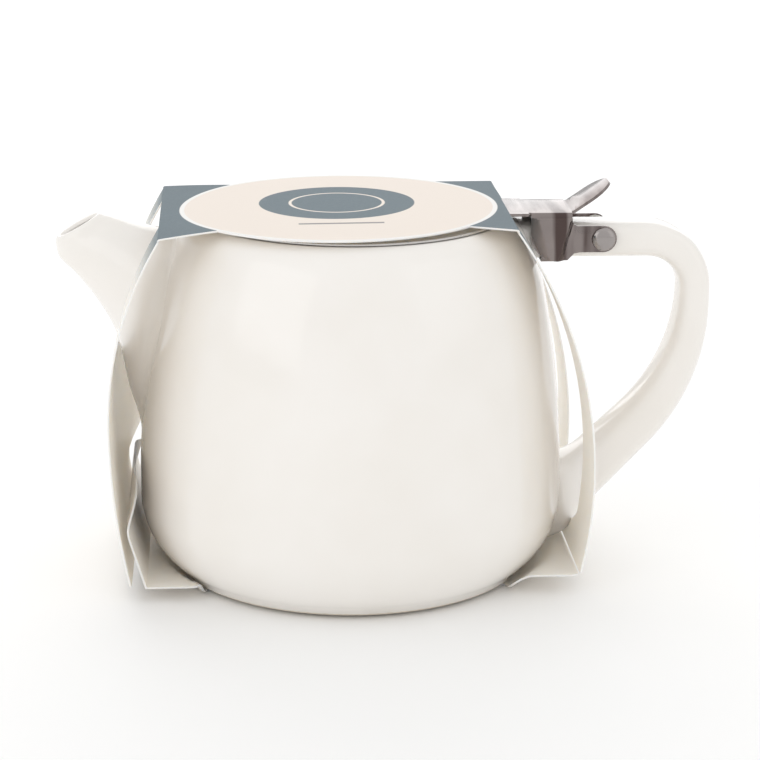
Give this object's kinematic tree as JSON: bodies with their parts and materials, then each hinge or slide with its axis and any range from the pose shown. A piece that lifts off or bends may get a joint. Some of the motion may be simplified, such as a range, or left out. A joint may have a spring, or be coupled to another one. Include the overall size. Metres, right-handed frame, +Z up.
{
  "type": "teapot infuser",
  "caption": "White glazed one-pot teapot with a hinged steel lid worked by a thumb lever, a lift-out steel infuser basket and a folded card sleeve.",
  "frame": {"origin": "centre of the base on the table, below the pot's own axis", "axes": "+Z up along the pot's axis, +X towards the handle and the lid hinge, -X towards the spout"},
  "size_m": [0.1836, 0.1196, 0.1098],
  "materials": {
    "glaze": "gloss warm white glaze",
    "steel": "satin stainless sheet",
    "steel_bright": "polished stainless",
    "bush": "plain moulded nylon",
    "card": "coated folding carton, cream",
    "card_print": "coated folding carton, printed blue-grey with a cream disc"
  },
  "bodies": {
    "pot": {"pot_body": "glaze", "pot_spout": "glaze", "pot_handle": "glaze", "pin_bush": "bush", "pivot_washer_front": "bush", "pivot_washer_back": "bush", "handle_clip": "steel_bright", "sleeve_base": "card"},
    "lid": {"lid_plate": "steel", "lid_skirt": "steel", "hinge_bracket": "steel_bright", "pivot_pin": "steel_bright"},
    "infuser": {"infuser_rim": "steel", "infuser_wall": "steel", "infuser_floor": "steel"},
    "sleeve_top": {"sleeve_top": "card_print"},
    "sleeve_left": {"sleeve_left": "card"},
    "sleeve_right": {"sleeve_right": "card"}
  },
  "joints": [
    {"name": "lid_hinge", "type": "hinge", "parent": "pot", "child": "lid", "pos_m": [0.0695, 0, 0.0945], "axis": [0, 1, 0], "range_deg": [0, 62]},
    {"name": "infuser_lift", "type": "slide", "parent": "pot", "child": "infuser", "axis": [0, 0, 1], "range_m": [0, 0.04]},
    {"name": "sleeve_lift", "type": "slide", "parent": "lid", "child": "sleeve_top", "axis": [0, 0, 1], "range_m": [0, 0.03]},
    {"name": "sleeve_left_fold", "type": "hinge", "parent": "sleeve_top", "child": "sleeve_left", "pos_m": [-0.0528, 0, 0.1018], "axis": [0, 1, 0], "range_deg": [0, 110]},
    {"name": "sleeve_right_fold", "type": "hinge", "parent": "sleeve_top", "child": "sleeve_right", "pos_m": [0.0428, 0, 0.1028], "axis": [0, 1, 0], "range_deg": [-150, 0]}
  ],
  "couplings": [
    {"joint": "infuser_lift", "follows": "lid_hinge", "m_per_rad": 0.034},
    {"joint": "sleeve_lift", "follows": "lid_hinge", "m_per_rad": 0.02},
    {"joint": "sleeve_left_fold", "follows": "lid_hinge", "ratio": 1.6},
    {"joint": "sleeve_right_fold", "follows": "lid_hinge", "ratio": -2.2}
  ]
}
